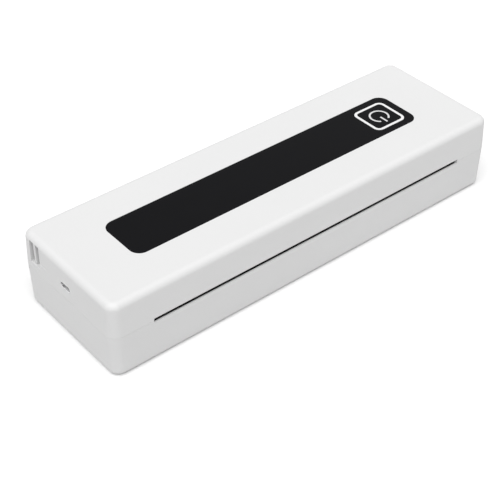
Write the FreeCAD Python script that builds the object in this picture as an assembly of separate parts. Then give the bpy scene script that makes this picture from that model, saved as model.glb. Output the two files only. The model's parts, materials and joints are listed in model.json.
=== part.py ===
"""Portable thermal printer: a two-shell case that opens like a clamshell on a rear hinge.

Millimetres, +X along the length, +Y to the rear, +Z up. The origin is the point on the floor
under the middle of the case. Each function makes one piece, and the table at the end writes
one STEP file for each.
"""
import FreeCAD, Part
import math
import os

os.makedirs("parts", exist_ok=True)
Vec = FreeCAD.Vector

# Case outside
corner_radius = 6.6
top_edge_radius = 4.0
bottom_edge_radius = 3.0
upper_draft = math.radians(2.2)
lower_draft = math.radians(1.5)
wall = 2.2
top_wall = 2.4
floor_wall = 2.2
foot_proud = 0.4

# Clearances that several pieces share
seam_gap = 0.1
move_gap = 0.3
run_gap = 0.05
fit_gap = 0.1
overrun = 1.0
same_height = 0.001

# Lip of the base that stands inside the cover's edge
lip_thickness = 1.0
lip_height = 1.2
lip_gap = 0.15

# Paper and its slot
paper_width = 216.0
slot_side_room = 1.2
slot_height = 1.5
slot_rise = 1.2
slot_lip = 1.1
slot_chamfer_height = 2.4

# Rear hinge
barrel_radius = 3.2
barrel_inset = 0.2
hinge_pin_radius = 1.2
hinge_pin_reach = 4.3
knuckle_from_end = 10.5
knuckle_width = 6.0
knuckle_web_past_axis = 0.8

# Platen roller and its bearings
platen_from_front = 14.7
platen_radius = 6.0
platen_core_radius = 3.0
platen_overhang = 1.0
journal_radius = 2.0
bush_radius = 4.0
bush_length = 4.0
bush_flange = 1.0
bush_flange_length = 0.8
bush_from_rubber = 2.2
post_depth = 13.0
post_cap = 1.6
shaft_tail = 2.0

# Gears, all of one module, and the drive they belong to
gear_module = 0.5
pressure_angle = math.radians(20.0)
tooth_backlash = 0.12
platen_teeth = 28
small_teeth = 16
large_teeth = 32
pinion_teeth = 16
gear_width = 2.8
large_gear_width = 2.6
gear_side_gap = 0.3
gear_collar = 0.5
gear_collar_radius = 2.6
stub_radius = 1.5
pinion_shaft_radius = 0.75
drive_plate_thickness = 1.0
drive_plate_margin = 2.6
drive_plate_corner = 2.0
motor_radius = 7.5
motor_length = 10.0
motor_boss_radius = 3.0
motor_gap = 0.4
motor_top_room = 0.65
drive_room = 1.9
drive_post_radius = 2.0

# Roll bin in the base
bin_radius = 16.0
bin_wall = 1.4
bin_end_room = 1.5
cradle_to_knuckle = 0.4
seam_over_roll_axis = 6.8
bin_flange = 7.0
cradle_boss_radius = 3.0
cradle_screw_from_end = 20.9
cradle_screw_count = 4

# Inner frame of the cover
frame_wall = 1.6
frame_lift = 2.2
roll_room = 0.5
cheek_from_rubber = 2.2
head_bay_front = 8.0
head_bay_rear = 13.5
head_bay_height = 9.8
cheek_height = 16.8
cheek_rear_reach = 11.0
tab_length = 8.0
tab_depth = 6.0
tab_screw_inset = 4.7
battery_rib_pitch = 30.0
frame_mid_screw_pitch = 80.0
ribbon_window_height = 2.4

# Print head
nip_gap = 0.3
strip_front = 4.0
strip_rear = 8.0
strip_thickness = 1.0
head_plate_front = 6.0
head_plate_rear = 12.5
head_plate_thickness = 3.5
head_side_room = 0.7
trunnion_rear = 11.0
trunnion_radius = 1.5
spring_radius = 2.6
spring_wire = 0.6
spring_from_end = 29.5
spring_count = 4
spring_post_radius = 1.6
spring_post_height = 2.0
heat_sink_fin = 1.0
heat_sink_fin_pitch = 2.4
heat_sink_fin_height = 1.6

# Head ribbon cable
ribbon_width = 30.0
ribbon_thickness = 0.3
ribbon_plug_depth = 4.0
ribbon_plug_height = 2.0
ribbon_rest = 0.35
ribbon_tongue = 4.5

# Main circuit board and the charging port
board_from_bay = 0.6
board_depth = 14.5
board_thickness = 1.2
board_to_arch = 0.46
board_from_cheek = 11.7
port_over_latch = 0.3
port_from_board_rear = 3.25
port_width = 8.94
port_tall = 3.2
port_depth = 7.4
port_wall = 0.3
port_sink = 0.45
port_tongue_width = 6.7
port_tongue_tall = 0.7
port_tongue_back = 1.0
standoff_radius = 2.2
board_screw_bite = 2.4
standoff_from_cheek = 12.2
standoff_count = 4
chip_size = 8.0
chip_tall = 1.2
chip_count = 4
chip_from_plug = 14.0
chip_from_end = 6.0
radio_from_plug = 20.0
radio_length = 16.0
radio_tall = 2.0

# Battery
battery_length = 110.0
battery_depth = 26.0
battery_thickness = 5.0
battery_shift = -20.0
battery_edge_radius = 1.2
battery_pad = 0.5
battery_rest = 1.4

# Black panel and the power button
panel_from_end = 34.1
panel_depth = 32.4
panel_corner = 6.4
panel_thickness = 1.2
button_size = 22.8
button_corner = 4.0
button_from_panel_end = 4.8
button_gap = 0.2
button_travel = 0.5
button_flange = 0.8
button_flange_thickness = 0.8
button_stem_radius = 2.0
button_stem_length = 2.0
mark_depth = 0.4
ring_stroke = 1.6
icon_radius = 6.1
icon_stroke = 1.1
icon_gap = math.radians(64.0)
icon_bar_start = 1.1
icon_bar_end = 7.0

# Button board and its switch
button_board_length = 40.0
button_board_depth = 18.0
switch_size = 6.2
switch_tall = 3.2
switch_plunger_radius = 1.7
switch_plunger_tall = 0.6
button_boss_pitch = 32.0

# Release latch in the left end of the cover
scoop_over_seam = 3.9
scoop_from_rear = 8.5
scoop_pocket = 8.85
scoop_ramp = 9.15
scoop_ramp_depth = 0.3
scoop_ramp_lift = 3.1
scoop_roof = 3.0
scoop_depth = 5.0
scoop_skin = 1.6
scoop_floor_skin = 0.9
latch_bar_room = 0.3
latch_bar_width = 1.8
latch_bar_sink = 0.4
latch_travel = 2.5
latch_arm_lift = 3.0
latch_arm_height = 3.0
latch_arm_thickness = 2.4
latch_arm_wall_gap = 1.2
latch_hook_rear = 7.0
latch_hook_width = 2.4
latch_hook_drop = 3.6
latch_nose = 1.0
latch_nose_height = 1.5
latch_shoe_width = 4.4
latch_shoe_drop = 0.6
latch_cross_width = 4.0
latch_keeper_width = 3.0
latch_keeper_thickness = 1.2
latch_keeper_shares = (0.30, 0.57)
catch_depth = 3.5
catch_width = 5.0
catch_height = 1.6
return_spring_radius = 1.2
return_spring_wire = 0.4
return_spring_bore = 1.45
return_spring_reach = 6.0
return_post_radius = 0.6
return_post_length = 6.0

# Screws, bosses and feet
screw_radius = 1.0
screw_head_radius = 1.9
screw_head_height = 1.2
screw_bite = 5.0
screw_recess_width = 0.5
screw_recess_depth = 0.6
boss_radius = 2.5
foot_radius = 5.0
foot_sink = 0.8
foot_from_end = 19.5
foot_from_side = 11.7
foot_edge_radius = 0.3

# Paper sensor
sensor_length = 6.0
sensor_depth = 4.0
sensor_tall = 1.6
sensor_x = 30.0
sensor_lens_radius = 0.8
sensor_lens_pitch = 3.0
sensor_lens_tall = 0.2

# Places worked out from the sizes above
end_bay = (platen_overhang + cheek_from_rubber + frame_wall + motor_gap + motor_length
           + drive_plate_thickness + gear_collar + large_gear_width + gear_side_gap + gear_width
           + drive_room + wall)
body_length = paper_width + 2 * end_bay
bin_to_hinge = bin_radius + bin_wall + cradle_to_knuckle + barrel_radius
arch_radius = bin_radius + roll_room
arch_out = arch_radius + frame_wall
board_over_axis = (seam_over_roll_axis + latch_arm_lift + latch_arm_height + port_over_latch
                   - board_thickness)
board_to_roll = math.sqrt(arch_out * arch_out - board_over_axis * board_over_axis) + board_to_arch
body_depth = (platen_from_front + head_bay_rear + frame_wall + board_from_bay + board_depth
              + board_to_roll + bin_to_hinge + barrel_radius + barrel_inset)
seam_height = floor_wall + bin_wall + bin_radius + seam_over_roll_axis
body_height = (floor_wall + bin_wall + bin_radius + arch_out + battery_rest + battery_thickness
               + battery_pad + top_wall)
panel_length = body_length - 2 * panel_from_end
half_length = body_length / 2
half_depth = body_depth / 2
z_bottom = foot_proud
z_floor = z_bottom + floor_wall
z_seam = z_bottom + seam_height
z_rim = z_seam - seam_gap
z_top = z_bottom + body_height
z_ceiling = z_top - top_wall
hinge_y = half_depth - barrel_radius - barrel_inset
groove_radius = barrel_radius + move_gap
knuckle_outer = half_length - knuckle_from_end
knuckle_inner = knuckle_outer - knuckle_width
pin_inner = knuckle_inner - hinge_pin_reach
pin_outer = knuckle_outer + hinge_pin_reach
slot_half = paper_width / 2 + slot_side_room
z_slot = z_seam - slot_height
platen_y = platen_from_front - half_depth
z_platen = z_seam - slot_height / 2 - platen_radius
rubber_half = paper_width / 2 + platen_overhang
bush_x = rubber_half + bush_from_rubber
z_post = z_platen + bush_radius + post_cap
bin_y = hinge_y - bin_to_hinge
z_bin = z_floor + bin_wall + bin_radius
bin_half = paper_width / 2 + bin_end_room
cheek_x = rubber_half + cheek_from_rubber
cheek_out = cheek_x + frame_wall
z_frame = z_seam + frame_lift
z_bay = z_seam + head_bay_height
bay_front_y = platen_y - head_bay_front
bay_rear_y = platen_y + head_bay_rear
pitch = gear_module / 2
reduction_y = platen_y
z_reduction = z_platen + pitch * (platen_teeth + small_teeth)
motor_reach = pitch * (large_teeth + pinion_teeth)
z_motor = z_ceiling - motor_top_room - motor_radius
motor_direction = math.asin((z_motor - z_reduction) / motor_reach)
motor_y = reduction_y + motor_reach * math.cos(motor_direction)
motor_x = cheek_out + motor_gap
drive_plate_x = motor_x + motor_length
large_gear_x = drive_plate_x + drive_plate_thickness + gear_collar
small_gear_x = large_gear_x + large_gear_width
platen_gear_x = small_gear_x + gear_side_gap
platen_gear_end = platen_gear_x + gear_width
z_strip = z_platen + platen_radius + nip_gap
z_head = z_strip + strip_thickness
z_head_top = z_head + head_plate_thickness
trunnion_y = platen_y + trunnion_rear
z_trunnion = z_head + head_plate_thickness / 2
z_latch = z_seam + latch_arm_lift
z_latch_top = z_latch + latch_arm_height
z_port = z_latch_top + port_over_latch + port_tall / 2
z_board_top = z_port - port_tall / 2
z_board = z_board_top - board_thickness
board_front_y = bay_rear_y + frame_wall + board_from_bay
board_rear_y = board_front_y + board_depth
port_y = board_rear_y - port_from_board_rear
port_face_x = -half_length + port_sink
board_left_x = port_face_x + port_depth
board_right_x = cheek_x - board_from_cheek
z_panel = z_top - panel_thickness
button_x = panel_length / 2 - button_from_panel_end - button_size / 2
z_button_flange = z_panel - move_gap
z_button_stem = z_button_flange - button_flange_thickness
z_button_tip = z_button_stem - button_stem_length
z_plunger = z_button_tip - button_travel - move_gap
z_switch = z_plunger - switch_plunger_tall
z_button_board_top = z_switch - switch_tall
z_button_board = z_button_board_top - board_thickness
z_scoop = z_seam + scoop_over_seam
z_scoop_block = z_scoop - scoop_floor_skin
z_scoop_ramp = z_scoop + scoop_ramp_lift
z_scoop_top = z_top - scoop_roof
scoop_rear = half_depth - scoop_from_rear
scoop_deep = scoop_rear - scoop_pocket
scoop_front = scoop_deep - scoop_ramp
scoop_back_x = -half_length + scoop_depth
scoop_block_x = scoop_back_x + scoop_skin
latch_bar_y = scoop_rear - latch_bar_width / 2 - latch_travel - latch_bar_room
latch_out_x = -half_length + wall + latch_arm_wall_gap
latch_in_x = latch_out_x + latch_arm_thickness
latch_shoe_x = scoop_block_x + move_gap
latch_cross_rear = scoop_deep - scoop_skin - latch_travel - move_gap
latch_cross_front = latch_cross_rear - latch_cross_width
latch_bar_front = latch_bar_y - latch_bar_width / 2
latch_bar_rear = latch_bar_y + latch_bar_width / 2
hook_front_y = platen_y + latch_hook_rear
z_hook = z_rim - latch_hook_drop
tab_screw_x = cheek_out + tab_screw_inset
tab_front_y = bay_front_y + tab_depth / 2 - frame_wall / 2
z_bay_top = z_bay + frame_wall
battery_y = bin_y
z_battery = z_ceiling - battery_pad - battery_thickness


# Shapes that several pieces use
def box(x0, x1, y0, y1, z0, z1):
    return Part.makeBox(x1 - x0, y1 - y0, z1 - z0, Vec(x0, y0, z0))


def rod_x(x0, x1, y, z, radius):
    return Part.makeCylinder(radius, x1 - x0, Vec(x0, y, z), Vec(1, 0, 0))


def rod_y(y0, y1, x, z, radius):
    return Part.makeCylinder(radius, y1 - y0, Vec(x, y0, z), Vec(0, 1, 0))


def rod_z(z0, z1, x, y, radius):
    return Part.makeCylinder(radius, z1 - z0, Vec(x, y, z0), Vec(0, 0, 1))


def join(first, *others):
    return first.fuse(list(others)).removeSplitter() if others else first


def rounded_outline(half_x, half_y, radius, z, x=0, y=0):
    """Closed wire of a rectangle with round corners, level at z."""
    edges = []
    last = None
    first = None
    quarter = math.pi / 2
    for turn, (sx, sy) in enumerate(((1, 1), (-1, 1), (-1, -1), (1, -1))):
        centre = Vec(x + sx * (half_x - radius), y + sy * (half_y - radius), z)
        spots = []
        for step in (0, 1 / 2, 1):
            angle = quarter * (turn + step)
            spots.append(centre + Vec(math.cos(angle), math.sin(angle), 0) * radius)
        if last is not None:
            edges.append(Part.LineSegment(last, spots[0]).toShape())
        else:
            first = spots[0]
        edges.append(Part.Arc(*spots).toShape())
        last = spots[2]
    edges.append(Part.LineSegment(last, first).toShape())
    return Part.Wire(edges)


def rounded_slab(half_x, half_y, radius, z0, z1, x=0, y=0):
    face = Part.Face(rounded_outline(half_x, half_y, radius, z0, x, y))
    return face.extrude(Vec(0, 0, z1 - z0))


def case_outline(inset, z):
    radius = max(corner_radius - inset, corner_radius / 4)
    return rounded_outline(half_length - inset, half_depth - inset, radius, z)


def case_block(inset, z0, z1, draft):
    """Solid with the case's outline, drawn in by inset and leaning in away from the seam."""
    lean = math.tan(draft)
    wires = [case_outline(inset + lean * (z - z_seam), z) for z in (z0, z1)]
    return Part.makeLoft(wires, True, True)


def edges_at(shape, z):
    return [e for e in shape.Edges if all(abs(v.Z - z) < same_height for v in e.Vertexes)]


def extrude_x(points, x0, x1):
    """Prism along X from a list of (y, z) corners."""
    corners = [Vec(x0, y, z) for y, z in points]
    face = Part.Face(Part.makePolygon(corners + corners[:1]))
    return face.extrude(Vec(x1 - x0, 0, 0))


def screw_up(x, y, z, grip, bite=screw_bite):
    """Pan-head screw driven upwards: its head lies under z, and it bites past the grip."""
    head = rod_z(z - screw_head_height, z, x, y, screw_head_radius)
    shank = rod_z(z, z + grip + bite, x, y, screw_radius)
    low = z - screw_head_height
    half = screw_recess_width / 2
    arm = screw_head_radius - screw_recess_width
    cross = box(x - arm, x + arm, y - half, y + half, low - overrun, low + screw_recess_depth)
    other = box(x - half, x + half, y - arm, y + arm, low - overrun, low + screw_recess_depth)
    return join(head, shank).cut([cross, other])


def turned_over(shape, z):
    """The same shape upside down, mirrored by half a turn about a level line at z."""
    copy = shape.copy()
    copy.rotate(Vec(0, 0, z), Vec(1, 0, 0), 180)
    return copy


def pilot(x, y, z0, grip):
    return rod_z(z0 - overrun, z0 + grip + screw_bite + screw_radius, x, y, screw_radius + run_gap)


def clear_hole(x, y, z0, z1):
    return rod_z(z0 - overrun, z1 + overrun, x, y, screw_radius + fit_gap)


# Places of screws, springs and feet
def spread(half, count):
    """Evenly spaced values from -half to half."""
    return [half * (2 * step / (count - 1) - 1) for step in range(count)]


def tab_places():
    return [(side * tab_screw_x, y) for side in (-1, 1) for y in (tab_front_y, bin_y)]


def mid_places():
    y = (bay_front_y + bay_rear_y) / 2
    return [(side * frame_mid_screw_pitch / 2, y) for side in (-1, 1)]


def button_board_places():
    return [(button_x + side * button_boss_pitch / 2, 0) for side in (-1, 1)]


def cradle_places():
    y = bin_y - bin_radius - bin_wall - bin_flange / 2
    end = bin_half + bin_wall
    return [(x, y) for x in spread(end - cradle_screw_from_end, cradle_screw_count)]


def standoff_places():
    y = board_front_y + standoff_radius
    return [(x, y) for x in spread(cheek_x - standoff_from_cheek, standoff_count)]


def spring_places():
    return [(x, platen_y) for x in spread(rubber_half - spring_from_end, spring_count)]


def foot_places():
    x = half_length - foot_from_end
    y = half_depth - foot_from_side
    return [(sx * x, sy * y) for sx in (-1, 1) for sy in (-1, 1)]


# Base
def hinge_cylinder(radius, x0, x1):
    return rod_x(x0, x1, hinge_y, z_seam, radius)


def base_outside():
    block = case_block(0, z_rim, z_bottom, -lower_draft)
    return block.makeFillet(bottom_edge_radius, edges_at(block, z_bottom))


def base_knuckle(side):
    low, high = sorted((side * knuckle_inner, side * knuckle_outer))
    barrel = hinge_cylinder(barrel_radius, low, high)
    web = box(low, high, hinge_y - barrel_radius, hinge_y + knuckle_web_past_axis, z_floor, z_seam)
    bore = hinge_cylinder(hinge_pin_radius, low - overrun, high + overrun)
    return join(barrel, web), bore


def bearing_post(side):
    low, high = sorted((side * bush_x, side * (bush_x + bush_length)))
    half = post_depth / 2
    post = box(low, high, platen_y - half, platen_y + half, z_floor, z_post)
    bore = rod_x(low - overrun, high + overrun, platen_y, z_platen, bush_radius)
    return post.cut(bore)


def latch_catch():
    """Block on the left wall that the latch's nose comes up to."""
    x = -half_length + wall / 2
    rear = hook_front_y - latch_nose - move_gap
    top = z_hook + latch_nose_height + move_gap + catch_height
    return box(x, x + catch_depth + wall / 2, rear - catch_width, rear, top - catch_height, top)


def base_lip():
    """Thin ring on the base's rim, left out at the rear where the cover's barrel turns."""
    z0 = z_rim - lip_height
    z1 = z_rim + lip_height
    inside = case_block(wall, z0 - overrun, z1 + overrun, 0)
    ring = case_block(wall - lip_thickness, z0, z1, 0).cut(inside)
    y0 = hinge_y - groove_radius - move_gap
    x = half_length + overrun
    return ring.cut(box(-x, x, y0, half_depth + overrun, z0 - overrun, z1 + overrun))


def base_shell():
    outside = base_outside()
    cavity = case_block(wall, z_rim + overrun, z_floor, -lower_draft)
    shell = join(outside.cut(cavity), base_lip())
    groove = hinge_cylinder(groove_radius, -half_length - overrun, half_length + overrun)
    shelf = box(-half_length - overrun, half_length + overrun, hinge_y, half_depth + overrun,
                z_seam - groove_radius, z_seam + overrun)
    shell = shell.cut([groove, shelf])
    bores = []
    added = []
    for side in (-1, 1):
        knuckle, bore = base_knuckle(side)
        added.append(knuckle)
        bores.append(bore)
        added.append(bearing_post(side))
    z_seat = z_bin - bin_wall
    for x, y in cradle_places():
        added.append(rod_z(z_floor, z_seat, x, y, cradle_boss_radius))
        z_deep = z_seat - screw_bite - screw_radius
        bores.append(rod_z(z_deep, z_seat + overrun, x, y, screw_radius + run_gap))
    added.append(latch_catch().common(case_block(wall / 2, z_rim, z_floor, -lower_draft)))
    shell = join(shell, *added)
    front = -half_depth
    z_clear = z_rim + lip_height + overrun
    notch = box(-slot_half, slot_half, front - overrun, front + wall + overrun, z_slot, z_clear)
    ramp = extrude_x([(front + slot_lip, z_slot), (front + wall + overrun, z_slot),
                      (front + wall + overrun, z_slot - slot_chamfer_height)], -slot_half, slot_half)
    for x, y in foot_places():
        bores.append(rod_z(z_bottom - overrun, z_bottom + foot_sink, x, y, foot_radius + fit_gap))
    return shell.cut([notch, ramp] + bores)


def rubber_feet():
    feet = []
    for x, y in foot_places():
        foot = rod_z(0, z_bottom + foot_sink, x, y, foot_radius)
        feet.append(foot.makeFillet(foot_edge_radius, edges_at(foot, 0)))
    return Part.makeCompound(feet)


def hinge_pins():
    pins = []
    for side in (-1, 1):
        pins.append(hinge_cylinder(hinge_pin_radius, *sorted((side * pin_inner, side * pin_outer))))
    return Part.makeCompound(pins)


def platen_bushes():
    bushes = []
    for side in (-1, 1):
        low, high = sorted((side * bush_x, side * (bush_x + bush_length)))
        flange = sorted((side * bush_x, side * (bush_x - bush_flange_length)))
        body = rod_x(low, high, platen_y, z_platen, bush_radius)
        rim = rod_x(flange[0], flange[1], platen_y, z_platen, bush_radius + bush_flange)
        bore = rod_x(low - bush_length, high + bush_length, platen_y, z_platen, journal_radius + run_gap)
        bushes.append(join(body, rim).cut(bore))
    return Part.makeCompound(bushes)


def trough(radius, x0, x1):
    """Lower half of a rod at the roll's axis."""
    return rod_x(x0, x1, bin_y, z_bin, radius).common(
        box(x0, x1, bin_y - radius, bin_y + radius, z_bin - radius, z_bin))


def roll_cradle():
    """Half-round trough that the paper roll lies in, with end cheeks and a front flange."""
    outer = bin_radius + bin_wall
    end = bin_half + bin_wall
    body = trough(outer, -end, end)
    lip = bin_y - outer
    flange = box(-end, end, lip - bin_flange, bin_y, z_bin - bin_wall, z_bin)
    holes = [clear_hole(x, y, z_bin - bin_wall, z_bin) for x, y in cradle_places()]
    return join(body, flange).cut([trough(bin_radius, -bin_half, bin_half).fuse(
        box(-bin_half, bin_half, bin_y - bin_radius, bin_y + bin_radius, z_bin, z_bin + overrun))] + holes)


def cradle_screws():
    screws = []
    for x, y in cradle_places():
        screws.append(turned_over(screw_up(x, -y, z_bin, bin_wall), z_bin))
    return Part.makeCompound(screws)


# Platen roller
def platen_shaft():
    core = rod_x(-rubber_half, rubber_half, platen_y, z_platen, platen_core_radius)
    left = -bush_x - bush_length - shaft_tail
    journals = rod_x(left, platen_gear_end, platen_y, z_platen, journal_radius)
    return join(core, journals)


def platen_rubber():
    sleeve = rod_x(-rubber_half, rubber_half, platen_y, z_platen, platen_radius)
    return sleeve.cut(rod_x(-rubber_half, rubber_half, platen_y, z_platen, platen_core_radius))


def gear_outline(teeth, x, y, z, facing):
    """Involute gear as a closed wire at x, with a tooth centred on the facing angle."""
    pitch_radius = pitch * teeth
    base_radius = pitch_radius * math.cos(pressure_angle)
    tip_radius = pitch_radius + gear_module
    root_radius = pitch_radius - gear_module - gear_module / 4
    involute = math.tan(pressure_angle) - pressure_angle
    half_tooth = math.pi / (2 * teeth) - tooth_backlash / (2 * pitch_radius)
    steps = 4
    flank = [(root_radius, half_tooth + involute)] if root_radius < base_radius else []
    start = max(base_radius, root_radius)
    for step in range(steps + 1):
        radius = start + (tip_radius - start) * step / steps
        roll = math.acos(min(1, base_radius / radius))
        flank.append((radius, half_tooth + involute - math.tan(roll) + roll))
    corners = []
    for tooth in range(teeth):
        middle = facing + 2 * math.pi * tooth / teeth
        side = [(r, middle - a) for r, a in flank] + [(r, middle + a) for r, a in reversed(flank)]
        corners += [Vec(x, y + r * math.cos(a), z + r * math.sin(a)) for r, a in side]
    return Part.makePolygon(corners + corners[:1])


def gear(teeth, x0, x1, y, z, facing):
    face = Part.Face(gear_outline(teeth, x0, y, z, facing))
    return face.extrude(Vec(x1 - x0, 0, 0))


def platen_gear():
    wheel = gear(platen_teeth, platen_gear_x, platen_gear_end, platen_y, z_platen, math.pi / 2)
    return wheel.cut(rod_x(platen_gear_x, platen_gear_end, platen_y, z_platen, journal_radius))


# Drive in the cover
def reduction_gear():
    """Two gears in one moulding: the large one meets the pinion, the small one the platen gear."""
    large = gear(large_teeth, large_gear_x, small_gear_x, reduction_y, z_reduction, motor_direction)
    half_pitch = math.pi / small_teeth
    facing = half_pitch - math.pi / 2
    small = gear(small_teeth, small_gear_x, platen_gear_end, reduction_y, z_reduction, facing)
    bore = rod_x(large_gear_x - overrun, platen_gear_end + overrun, reduction_y, z_reduction,
                 stub_radius + run_gap)
    return join(large, small).cut(bore)


def gear_stub():
    x0 = drive_plate_x
    face = drive_plate_x + drive_plate_thickness
    pin = rod_x(x0, platen_gear_end, reduction_y, z_reduction, stub_radius)
    collar = rod_x(face, large_gear_x - run_gap, reduction_y, z_reduction, gear_collar_radius)
    return join(pin, collar)


def motor_pinion():
    facing = motor_direction + math.pi + math.pi / pinion_teeth
    wheel = gear(pinion_teeth, large_gear_x, small_gear_x, motor_y, z_motor, facing)
    return wheel.cut(rod_x(large_gear_x, small_gear_x, motor_y, z_motor, pinion_shaft_radius))


def motor_shaft():
    """Turning shaft of the motor, from the motor's front bearing to the pinion."""
    return rod_x(drive_plate_x + run_gap, small_gear_x, motor_y, z_motor, pinion_shaft_radius)


def drive_motor():
    can = rod_x(motor_x, drive_plate_x, motor_y, z_motor, motor_radius)
    boss = rod_x(drive_plate_x, drive_plate_x + drive_plate_thickness, motor_y, z_motor, motor_boss_radius)
    hole = rod_x(drive_plate_x, drive_plate_x + overrun + drive_plate_thickness, motor_y, z_motor,
                 pinion_shaft_radius + run_gap)
    return join(can, boss).cut(hole)


def drive_post_places():
    upper = (reduction_y, z_motor + motor_radius - drive_post_radius)
    lower = (motor_y + motor_radius + drive_post_radius, z_frame + drive_post_radius)
    return [upper, lower]


def drive_plate():
    """Steel side plate that carries the motor and the stub of the reduction gear."""
    places = drive_post_places()
    front = min(y for y, z in places) - drive_plate_margin - stub_radius
    rear = max(y for y, z in places) + drive_plate_margin
    low = z_frame - frame_wall / 2
    high = z_motor + motor_radius
    x1 = drive_plate_x + drive_plate_thickness
    plate = box(drive_plate_x, x1, front, rear, low, high)
    through = [e for e in plate.Edges
               if abs(e.Vertexes[0].X - e.Vertexes[-1].X) > drive_plate_thickness / 2]
    plate = plate.makeFillet(drive_plate_corner, through)
    holes = [rod_x(drive_plate_x, x1, y, z, screw_radius + fit_gap) for y, z in places]
    holes.append(rod_x(drive_plate_x, x1, motor_y, z_motor, motor_boss_radius))
    holes.append(rod_x(drive_plate_x, x1, reduction_y, z_reduction, stub_radius))
    return plate.cut(holes)


def drive_screws():
    screws = []
    x = drive_plate_x + drive_plate_thickness
    for y, z in drive_post_places():
        screw = screw_up(0, 0, 0, drive_plate_thickness)
        screw.rotate(Vec(0, 0, 0), Vec(0, 1, 0), -90)
        screw.translate(Vec(x, y, z))
        screws.append(screw)
    return Part.makeCompound(screws)


# Cover
def cover_outside():
    block = case_block(0, z_seam, z_top, upper_draft)
    return block.makeFillet(top_edge_radius, edges_at(block, z_top))


def cover_barrel():
    """Round rear edge that turns in the base's groove, trimmed to the case's outline."""
    x = half_length + overrun
    rod = hinge_cylinder(barrel_radius, -x, x)
    low = case_block(0, z_seam, z_seam - barrel_radius - overrun, -lower_draft)
    return rod.common(low)


def knuckle_gaps():
    gaps = []
    for side in (-1, 1):
        low, high = sorted((side * (knuckle_inner - move_gap), side * (knuckle_outer + move_gap)))
        gaps.append(hinge_cylinder(groove_radius, low, high))
        gaps.append(box(low, high, hinge_y - groove_radius, half_depth, z_seam - groove_radius, z_seam))
    return gaps


def hinge_pin_bores():
    """Blind bores in the barrel, each with a slot below, through which its pin is laid in and slid out."""
    bores = []
    radius = hinge_pin_radius + run_gap
    slot_end = pin_inner - (pin_outer - pin_inner) - fit_gap
    for side in (-1, 1):
        bores.append(hinge_cylinder(radius, *sorted((side * slot_end, side * (pin_outer + fit_gap)))))
        low, high = sorted((side * slot_end, side * pin_inner))
        bores.append(box(low, high, hinge_y - radius, hinge_y + radius, z_seam - groove_radius, z_seam))
    return bores


def scoop_block():
    """Thick stretch of the left wall that the finger scoop is sunk into."""
    y0 = scoop_deep - scoop_skin
    y1 = scoop_rear + scoop_skin
    return box(-half_length + wall / 2, scoop_block_x, y0, y1, z_scoop_block, z_ceiling + top_wall / 4)


def scoop_cut():
    """Finger scoop: a shallow ramp to the rear, then a deep pocket with a slot for the latch's leg."""
    outside = -half_length - overrun
    lean = math.tan(upper_draft) * (z_scoop_ramp - z_seam)
    skin = -half_length + lean
    plan = [(outside, scoop_front), (skin, scoop_front), (skin + scoop_ramp_depth, scoop_deep),
            (outside, scoop_deep)]
    corners = [Vec(x, y, z_scoop_ramp) for x, y in plan]
    ramp = Part.Face(Part.makePolygon(corners + corners[:1])).extrude(Vec(0, 0, z_scoop_top - z_scoop_ramp))
    pocket = box(outside, scoop_back_x, scoop_deep, scoop_rear, z_scoop, z_scoop_top)
    y0 = latch_bar_front - move_gap
    y1 = latch_bar_rear + latch_travel + move_gap
    slot = box(scoop_back_x - overrun, scoop_block_x + overrun, y0, y1, z_scoop, z_latch_top + move_gap)
    return join(pocket, ramp, slot)


def latch_keepers():
    """Shelves on the left wall that the latch arm slides on."""
    x0 = -half_length + wall / 2
    z1 = z_latch - move_gap
    keepers = []
    for share in latch_keeper_shares:
        y = hook_front_y + share * (latch_bar_rear - hook_front_y)
        keepers.append(box(x0, latch_in_x, y, y + latch_keeper_width, z1 - latch_keeper_thickness, z1))
    return keepers


def return_seat_y():
    return hinge_y - barrel_radius


def return_post():
    """Seat and pin on the rear wall for the latch's return spring."""
    seat = return_seat_y()
    x = latch_spring_x()
    z = latch_spring_z()
    pad = rod_y(seat, half_depth - wall / 2, x, z, return_spring_radius)
    return join(pad, rod_y(seat - return_post_length, seat, x, z, return_post_radius))


def port_opening():
    """Obround hole in the left wall for the charging port."""
    half_w = port_width / 2 + fit_gap
    half_t = port_tall / 2 + fit_gap
    x0 = -half_length - overrun
    x1 = -half_length + wall + overrun
    return obround_x(x0, x1, port_y, z_port, half_w, half_t)


def obround_x(x0, x1, y, z, half_w, half_t):
    middle = box(x0, x1, y - half_w + half_t, y + half_w - half_t, z - half_t, z + half_t)
    ends = [rod_x(x0, x1, y + side * (half_w - half_t), z, half_t) for side in (-1, 1)]
    return join(middle, *ends)


def slot_notch():
    """Upper part of the paper slot, cut up into the cover's front edge."""
    front = -half_depth
    return box(-slot_half, slot_half, front - overrun, front + wall + overrun, z_seam - overrun,
               z_seam + slot_rise)


def button_flange_half():
    return button_size / 2 + button_flange


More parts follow.
